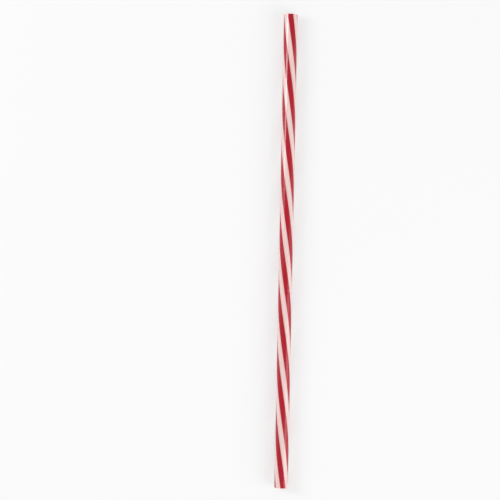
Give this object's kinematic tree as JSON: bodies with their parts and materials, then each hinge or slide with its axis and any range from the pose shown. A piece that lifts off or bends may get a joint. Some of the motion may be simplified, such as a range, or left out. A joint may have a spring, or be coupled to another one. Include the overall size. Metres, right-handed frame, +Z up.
{
  "type": "drinking straw",
  "caption": "Stiff straight plastic drinking straw, a thin open tube with rounded rims and red and white stripes that wind along it.",
  "frame": {"origin": "on the surface that the straw lies on, under the middle of its length", "axes": "+Y along the straw, towards the end that is at the top of the picture; +Z up from the surface it lies on, which is the side that faces the viewer in the picture; +X to the right of the picture"},
  "size_m": [0.0066, 0.2286, 0.0066],
  "materials": {
    "striped_plastic": "satin"
  },
  "bodies": {
    "root": {"straw": "striped_plastic"}
  },
  "joints": []
}
